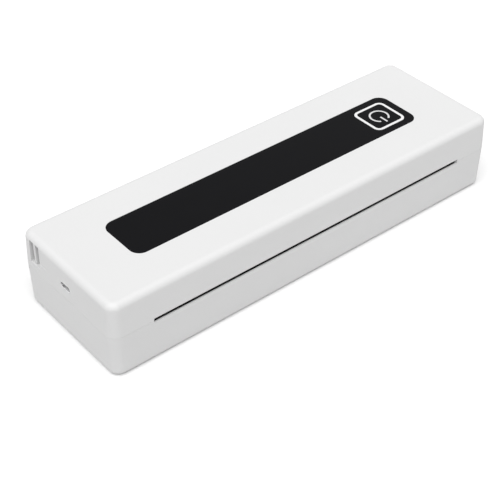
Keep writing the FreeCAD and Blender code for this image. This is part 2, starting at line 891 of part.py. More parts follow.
def cover_shell():
    outside = cover_outside()
    cavity = case_block(wall, z_seam - overrun, z_ceiling, upper_draft)
    z_rabbet = z_rim + lip_height + lip_gap
    rabbet = case_block(wall - lip_thickness - lip_gap, z_seam - overrun, z_rabbet, 0)
    shell = outside.cut([cavity, rabbet])
    rear_fill = case_block(0, z_seam, z_seam + barrel_radius, upper_draft)
    x = half_length + overrun
    barrel = join(cover_barrel(), hinge_cylinder(barrel_radius, -x, x).common(rear_fill))
    added = [barrel]
    added.append(scoop_block().common(cover_outside()))
    keeper_room = case_block(wall / 2, z_seam, z_ceiling, upper_draft)
    added += [keeper.common(keeper_room) for keeper in latch_keepers()]
    added.append(return_post().common(keeper_room))
    bores = []
    z_seat = z_ceiling + top_wall / 4
    for x, y in tab_places() + mid_places():
        added.append(rod_z(z_bay_top, z_seat, x, y, boss_radius))
        bores.append(pilot(x, y, z_bay_top, 0))
    for x, y in button_board_places():
        added.append(rod_z(z_button_board_top, z_seat, x, y, boss_radius))
        bores.append(pilot(x, y, z_button_board_top, 0))
    shell = join(shell, *added)
    recess = rounded_slab(panel_length / 2 + fit_gap, panel_depth / 2 + fit_gap, panel_corner + fit_gap,
                          z_panel, z_top + overrun)
    half = button_flange_half() + move_gap
    hole = rounded_slab(half, half, button_corner + button_flange, z_ceiling - overrun, z_panel + overrun,
                        button_x)
    cuts = [recess, hole, slot_notch(), port_opening(), scoop_cut()]
    return shell.cut(cuts + knuckle_gaps() + hinge_pin_bores() + bores)


def top_panel():
    slab = rounded_slab(panel_length / 2, panel_depth / 2, panel_corner, z_panel, z_top)
    half = button_size / 2 + button_gap
    corner = button_corner + button_gap
    hole = rounded_slab(half, half, corner, z_panel - overrun, z_top + overrun, button_x)
    return slab.cut(hole)


# Power button
def button_ring():
    """White frame let into the edge of the key."""
    half = button_size / 2
    outer = rounded_slab(half, half, button_corner, z_top - mark_depth, z_top, button_x)
    inner = rounded_slab(half - ring_stroke, half - ring_stroke, button_corner - ring_stroke,
                         z_top - mark_depth, z_top, button_x)
    return outer.cut(inner)


def power_symbol():
    """Open ring and bar let into the key, with the opening to the front."""
    z0 = z_top - mark_depth
    disc = rod_z(z0, z_top, button_x, 0, icon_radius)
    ring = disc.cut(rod_z(z0, z_top, button_x, 0, icon_radius - icon_stroke))
    reach = icon_radius + overrun
    width = reach * math.tan(icon_gap / 2)
    corners = [Vec(button_x, 0, z0), Vec(button_x - width, -reach, z0), Vec(button_x + width, -reach, z0)]
    wedge = Part.Face(Part.makePolygon(corners + corners[:1])).extrude(Vec(0, 0, mark_depth))
    half = icon_stroke / 2
    bar = box(button_x - half, button_x + half, -icon_bar_end, -icon_bar_start, z0, z_top)
    return Part.makeCompound([ring.cut(wedge), bar])


def power_button():
    half = button_size / 2
    key = rounded_slab(half, half, button_corner, z_button_flange, z_top, button_x)
    wide = button_flange_half()
    corner = button_corner + button_flange
    flange = rounded_slab(wide, wide, corner, z_button_stem, z_button_flange, button_x)
    stem = rod_z(z_button_tip, z_button_stem, button_x, 0, button_stem_radius)
    return join(key, flange, stem).cut([button_ring(), power_symbol()])


def button_board():
    half_x = button_board_length / 2
    half_y = button_board_depth / 2
    z0 = z_button_board
    z1 = z_button_board_top
    board = box(button_x - half_x, button_x + half_x, -half_y, half_y, z0, z1)
    return board.cut([clear_hole(x, y, z0, z1) for x, y in button_board_places()])


def push_switch():
    half = switch_size / 2
    body = box(button_x - half, button_x + half, -half, half, z_button_board_top, z_switch)
    return join(body, rod_z(z_switch, z_plunger, button_x, 0, switch_plunger_radius))


def button_board_screws():
    screws = [screw_up(x, y, z_button_board, board_thickness) for x, y in button_board_places()]
    return Part.makeCompound(screws)


# Inner frame
def frame_sheet():
    """Bent sheet along the case: a bay over the print head, a shelf, and an arch over the roll."""
    length = cheek_out
    t = frame_wall
    roof = box(-length, length, bay_front_y, bay_rear_y + t, z_bay, z_bay_top)
    back = box(-length, length, bay_rear_y, bay_rear_y + t, z_frame, z_bay_top)
    rise = z_frame - z_bin
    spring_line = math.sqrt(arch_radius * arch_radius - rise * rise)
    shelf = box(-length, length, bay_rear_y, bin_y - spring_line, z_frame, z_frame + t)
    tail = box(-length, length, bin_y + spring_line, bin_y + arch_out, z_frame, z_frame + t)
    keep = box(-length, length, bin_y - arch_out, bin_y + arch_out, z_frame, z_bin + arch_out)
    arch = rod_x(-length, length, bin_y, z_bin, arch_out).common(keep)
    hollow = rod_x(-length - overrun, length + overrun, bin_y, z_bin, arch_radius)
    return join(roof, back, shelf, arch, tail).cut(hollow)


def frame_cheek(side):
    """End plate of the inner frame, with the bearing of the print head."""
    low, high = sorted((side * cheek_x, side * cheek_out))
    z_high = z_seam + cheek_height if side > 0 else z_bay_top
    rear = bay_rear_y + cheek_rear_reach if side > 0 else bay_rear_y + frame_wall
    front = box(low, high, bay_front_y, rear, z_frame - frame_wall / 2, z_high)
    disc = rod_x(low, high, bin_y, z_bin, arch_out).common(
        box(low, high, bin_y - arch_out, bin_y + arch_out, z_frame, z_bin + arch_out))
    return join(front, disc)


def battery_ribs():
    ribs = []
    half = battery_depth / 2
    for step in (-1, 0, 1):
        x = battery_shift + step * battery_rib_pitch
        ribs.append(box(x, x + frame_wall, battery_y - half, battery_y + half, z_bin, z_battery))
    return ribs


def inner_frame():
    t = frame_wall
    added = [frame_cheek(-1), frame_cheek(1)]
    hollow = rod_x(-cheek_out, cheek_out, bin_y, z_bin, arch_radius + t / 2)
    added += [rib.cut(hollow) for rib in battery_ribs()]
    holes = []
    for x, y in tab_places():
        low, high = sorted((math.copysign(cheek_x, x), math.copysign(cheek_out + tab_length, x)))
        added.append(box(low, high, y - tab_depth / 2, y + tab_depth / 2, z_bay, z_bay_top))
    for x, y in tab_places() + mid_places():
        holes.append(clear_hole(x, y, z_bay, z_bay_top))
    for x, y in standoff_places():
        added.append(rod_z(z_frame + t / 2, z_board, x, y, standoff_radius))
        z_deep = z_board - board_screw_bite - run_gap
        holes.append(rod_z(z_deep, z_board + overrun, x, y, screw_radius + run_gap))
    for y, z in drive_post_places():
        added.append(rod_x(cheek_x + t / 2, drive_plate_x, y, z, drive_post_radius))
        holes.append(rod_x(drive_plate_x - screw_bite - screw_radius, drive_plate_x + overrun, y, z,
                           screw_radius + run_gap))
    for x, y in spring_places():
        added.append(rod_z(z_bay - spring_post_height, z_bay + t / 2, x, y, spring_post_radius))
    for side in (-1, 1):
        low, high = sorted((side * (cheek_x - overrun), side * (cheek_out + overrun)))
        holes.append(rod_x(low, high, trunnion_y, z_trunnion, trunnion_radius + run_gap))
    half = ribbon_width / 2 + move_gap
    z_mid = z_board_top + ribbon_plug_height / 2
    window = box(-half, half, bay_rear_y - overrun, bay_rear_y + t + overrun,
                 z_mid - ribbon_window_height / 2, z_mid + ribbon_window_height / 2)
    return join(frame_sheet(), *added).cut(holes + [window])


def frame_screws():
    return Part.makeCompound([screw_up(x, y, z_bay, frame_wall) for x, y in tab_places() + mid_places()])


# Print head
def head_half():
    return cheek_x - head_side_room


def head_strip():
    half = rubber_half
    return box(-half, half, platen_y - strip_front, platen_y + strip_rear, z_strip, z_head)


def head_plate():
    """Aluminium backing with ribs along its top and a trunnion at each end."""
    half = head_half()
    plate = box(-half, half, platen_y - head_plate_front, platen_y + head_plate_rear, z_head, z_head_top)
    trunnions = [rod_x(*sorted((side * half, side * cheek_out)), trunnion_y, z_trunnion, trunnion_radius)
                 for side in (-1, 1)]
    grooves = []
    z0 = z_head_top - heat_sink_fin_height
    y = platen_y + spring_radius + heat_sink_fin
    while y < trunnion_y - trunnion_radius - heat_sink_fin_pitch:
        grooves.append(box(-half - overrun, half + overrun, y, y + heat_sink_fin_pitch - heat_sink_fin,
                           z0, z_head_top + overrun))
        y += heat_sink_fin_pitch
    return join(plate.cut(grooves), *trunnions)


def head_springs():
    """Four short springs, drawn as closed sleeves, between the head and the roof of its bay."""
    springs = []
    for x, y in spring_places():
        sleeve = rod_z(z_head_top, z_bay, x, y, spring_radius)
        springs.append(sleeve.cut(rod_z(z_head_top, z_bay, x, y, spring_radius - spring_wire)))
    return Part.makeCompound(springs)


def head_ribbon():
    """Flat cable from the board's plug, through the bay wall and down to the head's rear edge."""
    t = ribbon_thickness
    z_mid = z_board_top + ribbon_plug_height / 2
    rear = board_front_y + board_from_bay
    bend = bay_rear_y - board_from_bay
    z_low = z_head_top + ribbon_rest
    half = ribbon_width / 2
    run = box(-half, half, bend - t, rear, z_mid - t / 2, z_mid + t / 2)
    drop = box(-half, half, bend - t, bend, z_low, z_mid + t / 2)
    rest = box(-half, half, bend - ribbon_tongue, bend, z_low, z_low + t)
    return join(run, drop, rest)


# Electronics
def main_board():
    board = box(board_left_x, board_right_x, board_front_y, board_rear_y, z_board, z_board_top)
    return board.cut([clear_hole(x, y, z_board, z_board_top) for x, y in standoff_places()])


def board_parts():
    """Ribbon plug, chips and the radio module, soldered to the board's top."""
    half = ribbon_width / 2
    y = board_front_y + board_from_bay
    reach = half + ribbon_plug_depth / 2
    z_plug = z_board_top + ribbon_plug_height
    parts = [box(-reach, reach, y, y + ribbon_plug_depth, z_board_top, z_plug)]
    middle = (board_front_y + board_rear_y) / 2
    first = reach + chip_from_plug
    last = board_right_x - chip_from_end - chip_size
    for step in range(chip_count):
        x = first + (last - first) * step / (chip_count - 1)
        parts.append(box(x, x + chip_size, middle, middle + chip_size / 2, z_board_top,
                         z_board_top + chip_tall))
    x = -reach - radio_from_plug - radio_length
    parts.append(box(x, x + radio_length, middle - chip_size / 4, middle + chip_size / 2, z_board_top,
                     z_board_top + radio_tall))
    return Part.makeCompound(parts)


def board_screws():
    screws = []
    for x, y in standoff_places():
        screw = screw_up(x, -y, z_board_top, board_thickness, board_screw_bite)
        screws.append(turned_over(screw, z_board_top))
    return Part.makeCompound(screws)


def charging_port():
    half_w = port_width / 2
    half_t = port_tall / 2
    x1 = board_left_x + port_wall
    tube = obround_x(port_face_x, x1, port_y, z_port, half_w, half_t)
    bore = obround_x(port_face_x - overrun, x1 - port_wall, port_y, z_port,
                     half_w - port_wall, half_t - port_wall)
    return tube.cut(bore)


def port_tongue():
    half = port_tongue_width / 2
    thick = port_tongue_tall / 2
    x0 = port_face_x + port_tongue_back
    return box(x0, board_left_x, port_y - half, port_y + half, z_port - thick, z_port + thick)


def battery_pack():
    half_x = battery_length / 2
    half_y = battery_depth / 2
    pack = box(battery_shift - half_x, battery_shift + half_x, battery_y - half_y, battery_y + half_y,
               z_battery, z_battery + battery_thickness)
    return pack.makeFillet(battery_edge_radius, pack.Edges)


def paper_sensor():
    y = (bay_rear_y + board_rear_y) / 2
    half_x = sensor_length / 2
    half_y = sensor_depth / 2
    z0 = z_frame - sensor_tall
    body = box(sensor_x - half_x, sensor_x + half_x, y - half_y, y + half_y, z0, z_frame)
    step = sensor_lens_pitch / 2
    lenses = [rod_z(z0 - sensor_lens_tall, z0, sensor_x + side * step, y, sensor_lens_radius)
              for side in (-1, 1)]
    return join(body, *lenses)


# Latch
def latch_spring_x():
    return latch_shoe_x + latch_shoe_width / 2


def latch_spring_z():
    return z_latch + latch_arm_height / 2 - latch_shoe_drop / 2


def latch_slider():
    """Finger bar, leg, spring shoe, crosspiece, arm and hook in one moulding."""
    skin = -half_length + math.tan(upper_draft) * (z_scoop_top - z_seam)
    bar_x = skin + latch_bar_sink
    back_x = scoop_back_x - move_gap
    z_bar = z_scoop + move_gap
    z_bar_top = z_scoop_top - move_gap
    bar = box(bar_x, back_x, latch_bar_front, latch_bar_rear, z_bar, z_bar_top)
    leg = box(bar_x, latch_spring_x(), latch_bar_front, latch_bar_rear, z_bar, z_latch_top)
    shoe_in_x = latch_shoe_x + latch_shoe_width
    shoe = box(latch_shoe_x, shoe_in_x, latch_cross_front, latch_bar_rear, z_latch - latch_shoe_drop,
               z_latch_top)
    cross = box(latch_out_x, shoe_in_x, latch_cross_front, latch_cross_rear, z_latch, z_latch_top)
    arm = box(latch_out_x, latch_in_x, hook_front_y, latch_cross_rear, z_latch, z_latch_top)
    hook = box(latch_out_x, latch_in_x, hook_front_y, hook_front_y + latch_hook_width, z_hook, z_latch_top)
    z_nose = z_hook + latch_nose_height
    nose = box(latch_out_x, latch_in_x, hook_front_y - latch_nose, hook_front_y, z_hook, z_nose)
    depth = return_spring_reach + latch_travel + move_gap
    bore = rod_y(latch_bar_rear - depth, latch_bar_rear + overrun, latch_spring_x(), latch_spring_z(),
                 return_spring_bore)
    return join(bar, leg, shoe, cross, arm, hook, nose).cut(bore)


def latch_spring():
    """Return spring of the latch, drawn as a closed sleeve at its pressed length."""
    y0 = latch_bar_rear - return_spring_reach
    y1 = return_seat_y()
    x = latch_spring_x()
    z = latch_spring_z()
    sleeve = rod_y(y0, y1, x, z, return_spring_radius)
    return sleeve.cut(rod_y(y0, y1, x, z, return_spring_radius - return_spring_wire))


PIECES = (
    base_shell, rubber_feet, hinge_pins, platen_bushes, roll_cradle, cradle_screws,
    platen_shaft, platen_rubber, platen_gear,
    reduction_gear, gear_stub, motor_pinion, motor_shaft, drive_motor, drive_plate, drive_screws,
    cover_shell, top_panel, power_button, button_ring, power_symbol,
    button_board, push_switch, button_board_screws,
    inner_frame, frame_screws, head_strip, head_plate, head_springs, head_ribbon,
    main_board, board_parts, board_screws, charging_port, port_tongue, battery_pack, paper_sensor,
    latch_slider, latch_spring,
)

for make in PIECES:
    shape = make()
    shape.exportStep("parts/" + make.__name__ + ".step")
    print(make.__name__, len(shape.Solids), round(shape.Volume, 1), shape.isValid())
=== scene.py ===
import json
import math

import bmesh
import bpy
from mathutils import Euler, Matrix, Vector


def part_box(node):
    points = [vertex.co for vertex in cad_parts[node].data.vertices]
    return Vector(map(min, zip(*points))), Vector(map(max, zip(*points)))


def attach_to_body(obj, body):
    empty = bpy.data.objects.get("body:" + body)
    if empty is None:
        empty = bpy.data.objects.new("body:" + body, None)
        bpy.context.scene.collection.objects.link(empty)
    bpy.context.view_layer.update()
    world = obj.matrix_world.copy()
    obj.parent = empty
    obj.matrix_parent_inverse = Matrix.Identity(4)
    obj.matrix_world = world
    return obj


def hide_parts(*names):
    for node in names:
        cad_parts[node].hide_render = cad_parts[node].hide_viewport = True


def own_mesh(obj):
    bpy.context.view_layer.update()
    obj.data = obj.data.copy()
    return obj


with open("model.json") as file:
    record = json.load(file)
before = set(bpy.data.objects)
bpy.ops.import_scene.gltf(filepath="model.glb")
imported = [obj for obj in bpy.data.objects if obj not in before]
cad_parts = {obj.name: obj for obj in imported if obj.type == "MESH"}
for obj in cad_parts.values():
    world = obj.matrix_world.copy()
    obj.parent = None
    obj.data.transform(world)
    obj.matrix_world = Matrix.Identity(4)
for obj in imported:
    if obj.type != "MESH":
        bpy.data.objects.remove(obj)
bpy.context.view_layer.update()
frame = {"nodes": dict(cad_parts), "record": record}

bl_info = {
    "name": "Portable thermal printer",
    "version": (1, 0, 0),
    "blender": (4, 5, 0),
    "location": "View3D > Sidebar > Printer",
    "description": "Finishes the pieces of a portable thermal printer round its packed frame",
    "category": "Object",
}

MM = 0.001


# Settings that a user would change
def linear(level):
    """Scene-linear value of a screen level from 0 to 255."""
    share = level / 255
    return share / 12.92 if share <= 0.04045 else ((share + 0.055) / 1.055) ** 2.4


def tint(name, description, red, green, blue):
    """Colour setting whose default is given in screen levels."""
    return bpy.props.FloatVectorProperty(
        name=name, description=description, subtype="COLOR", size=3, min=0, max=1,
        default=(linear(red), linear(green), linear(blue)))


def span(name, description, millimetres):
    """Length setting whose default is given in millimetres."""
    return bpy.props.FloatProperty(
        name=name, description=description, default=millimetres * MM, min=0, precision=5,
        unit="LENGTH", subtype="DISTANCE")


class PrinterSizes(bpy.types.PropertyGroup):
    """Edge rounds and wire sizes that the frame leaves open."""
    shell_edge: span("Shell edge", "Round on the sharp edges of the case shells", 0.1)
    panel_edge: span("Panel edge", "Round on the edges of the black panel and the key", 0.12)
    inner_edge: span("Inner edge", "Round on the moulded inner pieces", 0.2)
    metal_edge: span("Metal edge", "Broken edge of sheet and turned metal", 0.08)
    tooth_edge: span("Tooth edge", "Round on the teeth of the gears", 0.04)
    head_wire: span("Head spring wire", "Radius of the wire of the head springs", 0.3)
    latch_wire: span("Latch spring wire", "Radius of the wire of the latch spring", 0.2)
    head_turns: bpy.props.FloatProperty(
        name="Head spring turns", description="Turns of wire in each head spring", default=5.5, min=1)
    latch_turns: bpy.props.FloatProperty(
        name="Latch spring turns", description="Turns of wire in the latch spring", default=14.5, min=1)
    lead_pitch: span("Lead pitch", "Distance between the leads of the soldered parts", 1.27)
    lead_width: span("Lead width", "Width of a lead of the soldered parts", 0.45)
    lead_sheet: span("Lead sheet", "Thickness of the sheet that the leads are bent from", 0.15)
    lead_reach: span("Lead reach", "How far a lead stands out from its part", 0.9)
    contact_pitch: span("Contact pitch", "Distance between the contacts of the charging port", 0.5)
    contact_width: span("Contact width", "Width of a contact of the charging port", 0.26)
    contact_sheet: span("Contact sheet", "Thickness of a contact of the charging port", 0.06)
    contact_back: span("Contact back", "Distance from the tip of the port's tongue to its contacts", 1.6)


class PrinterColours(bpy.types.PropertyGroup):
    """Colours of the finishes, as they look on screen under plain light."""
    case: tint("Case", "White of the two case shells and the latch", 228, 228, 228)
    panel: tint("Panel", "Black of the top panel and the key", 18, 18, 20)
    mark: tint("Mark", "White of the power mark", 222, 222, 222)
    key_frame: tint("Key frame", "White of the frame round the key", 240, 240, 240)
    frame: tint("Inner frame", "Dark grey of the cover's inner frame", 52, 53, 56)
    cradle: tint("Cradle", "Grey of the roll cradle", 108, 110, 114)
    rubber: tint("Rubber", "Black of the platen and the feet", 38, 38, 39)
    steel: tint("Steel", "Shafts, pins, screws and springs", 198, 199, 202)
    plate: tint("Plated sheet", "Zinc-plated side plate and motor can", 186, 189, 192)
    gear: tint("Gear", "Natural acetal of the gears", 232, 229, 217)
    bush: tint("Bush", "Black acetal of the platen's bushes", 46, 46, 47)
    mask: tint("Solder mask", "Green lacquer of the circuit boards", 22, 92, 58)
    copper: tint("Copper", "Gold-plated pads on the boards", 206, 170, 96)
    chip: tint("Chip", "Black moulding compound of the chips", 42, 42, 44)
    # Port and tongue colours are lifted close to white so that the shaded inside of the port reads
    # lighter: painted light.
    port: tint("Port", "Plated shell of the charging port", 242, 242, 243)
    tongue: tint("Tongue", "Light plastic of the port's tongue", 238, 238, 238)
    foil: tint("Foil", "Silver pouch of the battery", 176, 179, 184)
    ceramic: tint("Ceramic", "Glazed strip of the print head", 226, 221, 210)
    alloy: tint("Alloy", "Milled backing of the print head", 196, 198, 201)
    film: tint("Film", "White film of the head's flat cable", 222, 226, 234)


class StageSettings(bpy.types.PropertyGroup):
    """Camera and light."""
    camera_place: bpy.props.FloatVectorProperty(
        name="Camera place", description="Where the camera stands", size=3, subtype="XYZ",
        unit="LENGTH", default=(-0.3606, -0.424756, 0.443234))
    camera_elevation: bpy.props.FloatProperty(
        name="Camera elevation", description="Angle that the camera looks down by",
        default=math.radians(39.149), subtype="ANGLE")
    camera_azimuth: bpy.props.FloatProperty(
        name="Camera azimuth", description="Turn of the camera from looking along +Y",
        default=math.radians(-39.258), subtype="ANGLE")
    camera_lens: bpy.props.FloatProperty(
        name="Camera lens", description="Focal length on a 36 mm sensor", default=88.94, unit="CAMERA")
    near_clip: span("Near clip", "Distance from the camera within which nothing shows", 10)
    light: bpy.props.FloatProperty(
        name="Light", description="Light on the top face: at 1, white paper shows as white",
        default=1.12, min=0)
    sky: bpy.props.FloatProperty(
        name="Sky", description="Share of that light that comes from all round",
        default=0.315, min=0, max=1, subtype="FACTOR")
    lamp_tilt: bpy.props.FloatVectorProperty(
        name="Lamp tilt", description="Turn of the overhead lamp about X and Y", size=2,
        default=(math.radians(15), math.radians(-15)), subtype="EULER")
    lamp_softness: bpy.props.FloatProperty(
        name="Lamp softness", description="Angle that the overhead lamp fills",
        default=math.radians(70), subtype="ANGLE")
    floor_bounce: bpy.props.FloatProperty(
        name="Floor bounce", description="Share of the light that the floor throws back",
        default=0.64, min=0, max=1, subtype="FACTOR")
    floor_reach: bpy.props.FloatProperty(
        name="Floor reach", description="Distance from the middle of the floor to its edge",
        default=6.0, unit="LENGTH", subtype="DISTANCE")


def sizes():
    """The sizes as they are set in the scene."""
    return bpy.context.scene.printer_sizes


def colours():
    """The colours as they are set in the scene."""
    return bpy.context.scene.printer_colours


# Shader maths
EVEN = (1, 1, 1)


class Wire:
    """A shader socket that takes part in Python sums: each operation adds one Math node."""

    def __init__(self, finish, socket):
        self.finish = finish
        self.socket = socket

    def math(self, operation, *values):
        node = self.finish.add("ShaderNodeMath", {"operation": operation}, dict(enumerate(values)))
        return self.finish.wire(node)

    def __add__(self, other):
        return self.math("ADD", self, other)

    def __radd__(self, other):
        return self.math("ADD", other, self)

    def __sub__(self, other):
        return self.math("SUBTRACT", self, other)

    def __rsub__(self, other):
        return self.math("SUBTRACT", other, self)

    def __mul__(self, other):
        return self.math("MULTIPLY", self, other)

    def __rmul__(self, other):
        return self.math("MULTIPLY", other, self)

    def __truediv__(self, other):
        return self.math("DIVIDE", self, other)

    def __rtruediv__(self, other):
        return self.math("DIVIDE", other, self)

    def __abs__(self):
        return self.math("ABSOLUTE", self)

    def most(self, other):
        """The larger of two values."""
        return self.math("MAXIMUM", self, other)

    def sine(self):
        return self.math("SINE", self)

    def step(self, low, high):
        """0 below low and 1 above high, with a smooth rise between; low above high turns it round."""
        node = self.finish.add("ShaderNodeMapRange", {"interpolation_type": "SMOOTHSTEP"},
                               {"Value": self, "From Min": low, "From Max": high})
        return self.finish.wire(node)


class NodeTree:
    """A node tree of a material, the world or Geometry Nodes."""

    def __init__(self, tree):
        self.tree = tree
        self.tree.nodes.clear()

    def add(self, kind, settings=None, sockets=None):
        """One node: its settings are set first, then each socket gets a value or a link."""
        node = self.tree.nodes.new(kind)
        for name, value in (settings or {}).items():
            setattr(node, name, value)
        for key, value in (sockets or {}).items():
            if isinstance(value, Wire):
                self.tree.links.new(value.socket, node.inputs[key])
            else:
                node.inputs[key].default_value = value
        return node

    def wire(self, node, output=0):
        return Wire(self, node.outputs[output])

    def seen(self):
        """1 for rays that show the surroundings: from the camera, off gloss and through glass."""
        path = self.add("ShaderNodeLightPath")
        seen = self.wire(path, "Is Camera Ray").most(self.wire(path, "Is Glossy Ray"))
        return seen.most(self.wire(path, "Is Transmission Ray"))


class Finish(NodeTree):
    """A material with one Principled shader: uniform values sit on its sockets."""

    def __init__(self, name, uniform):
        self.material = bpy.data.materials.new(name)
        self.material.use_nodes = True
        super().__init__(self.material.node_tree)
        self.shader = self.add("ShaderNodeBsdfPrincipled", None, uniform)
        output = self.add("ShaderNodeOutputMaterial")
        self.tree.links.new(self.shader.outputs[0], output.inputs[0])

    def feed(self, socket, wire):
        """Links what changes over the surface to a socket of the shader."""
        self.tree.links.new(wire.socket, self.shader.inputs[socket])

    def place(self, stretch=EVEN):
        """Object coordinates in metres, scaled along each axis."""
        spot = self.wire(self.add("ShaderNodeTexCoord"), "Object")
        return self.wire(self.add("ShaderNodeMapping", None, {"Vector": spot, "Scale": stretch}))

    def axes(self):
        """The X, Y and Z of the Object coordinates."""
        node = self.add("ShaderNodeSeparateXYZ", None, {0: self.place()})
        return [self.wire(node, axis) for axis in "XYZ"]

    def noise(self, grain, detail=2, stretch=EVEN):
        """Noise whose grains are that many metres across."""
        node = self.add("ShaderNodeTexNoise", {"noise_dimensions": "3D"},
                        {"Vector": self.place(stretch), "Scale": 1 / grain, "Detail": detail})
        return self.wire(node, 0)

    def cells(self, pitch):
        """Distance to the nearest of many scattered points, in shares of their pitch in metres."""
        node = self.add("ShaderNodeTexVoronoi", {"feature": "F1"},
                        {"Vector": self.place(), "Scale": 1 / pitch})
        return self.wire(node, "Distance")

    def blend(self, first, second, share):
        """Colour between two colours or colour wires."""
        ends = [tuple(c) + (1,) if not isinstance(c, Wire) else c for c in (first, second)]
        node = self.add("ShaderNodeMix", {"data_type": "RGBA"}, {0: share, 6: ends[0], 7: ends[1]})
        return self.wire(node, 2)

    def relief(self, height, depth, strength=0.6):
        """Bump of a height from 0 to 1 that stands for that many metres."""
        node = self.add("ShaderNodeBump", None,
                        {"Height": height, "Distance": depth, "Strength": strength})
        self.feed("Normal", self.wire(node))


def shade(colour, share):
    """A colour made darker, or lighter with a share over 1."""
    return tuple(share * value for value in colour)


# Sizes of what the finishes show: grains, pitches and the depth of their relief
FLOW_MARK = 40 * MM
LACQUER_GRAIN = 0.12 * MM
LACQUER_RELIEF = 0.004 * MM
LACQUER_HAZE = 25 * MM
INK_PINHOLE = 0.09 * MM
INK_RELIEF = 0.006 * MM
INK_WEAR = 3 * MM
RUBBER_SCRATCH = 0.16 * MM
RUBBER_RELIEF = 0.02 * MM
RUBBER_DUST = 1.1 * MM
METAL_STAIN = 9 * MM
TRACK_PITCH = 1.1 * MM
TRACK_SWAY = 9 * MM
TRACK_BREAK = 6 * MM
TRACK_RELIEF = 0.03 * MM
HOLE_PITCH = 2.4 * MM
FOIL_CREASE = 7 * MM
FOIL_RELIEF = 0.12 * MM
FOIL_GRAIN = 0.3 * MM
GLAZE_MOTTLE = 2.5 * MM
BEAD_RELIEF = 0.1 * MM
LANE_PITCH = 1.0 * MM
LANE_RELIEF = 0.03 * MM
FILM_SHEEN = 4 * MM

# Where the print head's lines lie, in shares of its depth: middle, outer and inner half width
DOT_LINE_SHARES = (0.33, 0.035, 0.02)
RESIN_BEAD_SHARES = (0.8, 0.13, 0.1)

# Scales of a grain's coordinates: a scale under 1 draws the grain out along that axis
DRAWN_ALONG_X = (0.1, 1, 1)
MILLED_ALONG_X = (0.05, 1, 1)
CREASED_ALONG_X = (0.35, 1, 1)
TURNED_ROUND_X = (1, 0.1, 0.1)
GROUND_ROUND_X = (1, 0.25, 0.25)


# Finishes
def moulded_plastic(name, colour, roughness, grain, depth, gloss):
    """Moulding with a fine eroded texture and faint flow marks."""
    finish = Finish(name, {"Specular IOR Level": gloss})
    flow = finish.noise(FLOW_MARK)
    texture = finish.noise(grain, 3)
    finish.feed("Base Color", finish.blend(shade(colour, 0.97), colour, flow))
    finish.feed("Roughness", roughness - 0.04 + 0.06 * texture + 0.05 * flow)
    finish.relief(texture, depth, 0.5)
    return finish.material


def satin_black():
    """Black panel with a satin surface, as fine as lacquer."""
    finish = Finish("satin_black", {"Specular IOR Level": 0.03})
    grain = finish.noise(LACQUER_GRAIN)
    haze = finish.noise(LACQUER_HAZE, 3)
    colour = colours().panel
    finish.feed("Base Color", finish.blend(shade(colour, 0.85), shade(colour, 1.1), haze))
    finish.feed("Roughness", 0.3 + 0.08 * haze + 0.05 * grain)
    finish.relief(grain, LACQUER_RELIEF, 0.5)
    return finish.material


def printed_white(name, colour):
    """White ink with pinholes and a little wear."""
    finish = Finish(name, {"Specular IOR Level": 0.3})
    pinholes = finish.noise(INK_PINHOLE)
    wear = finish.noise(INK_WEAR)
    finish.feed("Base Color", finish.blend(shade(colour, 0.95), colour, wear))
    finish.feed("Roughness", 0.4 + 0.15 * pinholes)
    finish.relief(pinholes, INK_RELIEF, 0.5)
    return finish.material


def ground_rubber():
    """Rubber with a ground face: fine scratches round it and a little dust."""
    finish = Finish("ground_rubber", {"Specular IOR Level": 0.25})
    scratch = finish.noise(RUBBER_SCRATCH, 2, GROUND_ROUND_X)
    dust = finish.noise(RUBBER_DUST, 4).step(0.55, 0.8)
    finish.feed("Base Color", finish.blend(colours().rubber, shade(colours().rubber, 1.9), dust))
    finish.feed("Roughness", 0.68 + 0.18 * scratch)
    finish.relief(scratch, RUBBER_RELIEF, 0.7)
    return finish.material


def bright_metal(name, colour, roughness, grain, depth, stretch):
    """Metal with fine lines left by its tool or by its rolling."""
    finish = Finish(name, {"Metallic": 1.0})
    lines = finish.noise(grain, 3, stretch)
    stain = finish.noise(METAL_STAIN, 3)
    finish.feed("Base Color", finish.blend(shade(colour, 0.82), colour, 0.35 + 0.65 * stain))
    finish.feed("Roughness", roughness - 0.07 + 0.12 * lines + 0.06 * stain)
    finish.relief(lines, depth, 0.5)
    return finish.material


def solder_mask():
    """Green lacquer over copper tracks, with plated holes."""
    finish = Finish("solder_mask", {"Specular IOR Level": 0.5})
    x, y = finish.axes()[:2]
    sway = 2.5 * (x * (1 / TRACK_SWAY)).sine()
    tracks = abs((y * (2 * math.pi / TRACK_PITCH) + sway).sine()).step(0.72, 0.82)
    breaks = finish.noise(TRACK_BREAK, 1).step(0.46, 0.54)
    holes = finish.cells(HOLE_PITCH).step(0.2, 0.14)
    green = finish.blend(colours().mask, shade(colours().mask, 1.7), tracks * breaks)
    finish.feed("Base Color", finish.blend(green, colours().copper, holes))
    finish.feed("Roughness", 0.3 + 0.1 * breaks - 0.05 * holes)
    finish.feed("Metallic", holes)
    finish.relief(tracks * breaks + holes, TRACK_RELIEF)
    return finish.material


def pouch_foil():
    """Silver pouch of the battery, pulled into faint creases, with painted shade down in the creases."""
    finish = Finish("pouch_foil", {"Metallic": 0.85})
    crease_and_painted_shade = finish.noise(FOIL_CREASE, 4, CREASED_ALONG_X)
    grain = finish.noise(FOIL_GRAIN)
    # The foil's colour darkens where the creases dip: painted shade.
    finish.feed("Base Color", finish.blend(shade(colours().foil, 0.8), colours().foil, crease_and_painted_shade))
    finish.feed("Roughness", 0.36 + 0.14 * crease_and_painted_shade)
    finish.relief(crease_and_painted_shade + 0.05 * grain, FOIL_RELIEF)
    return finish.material


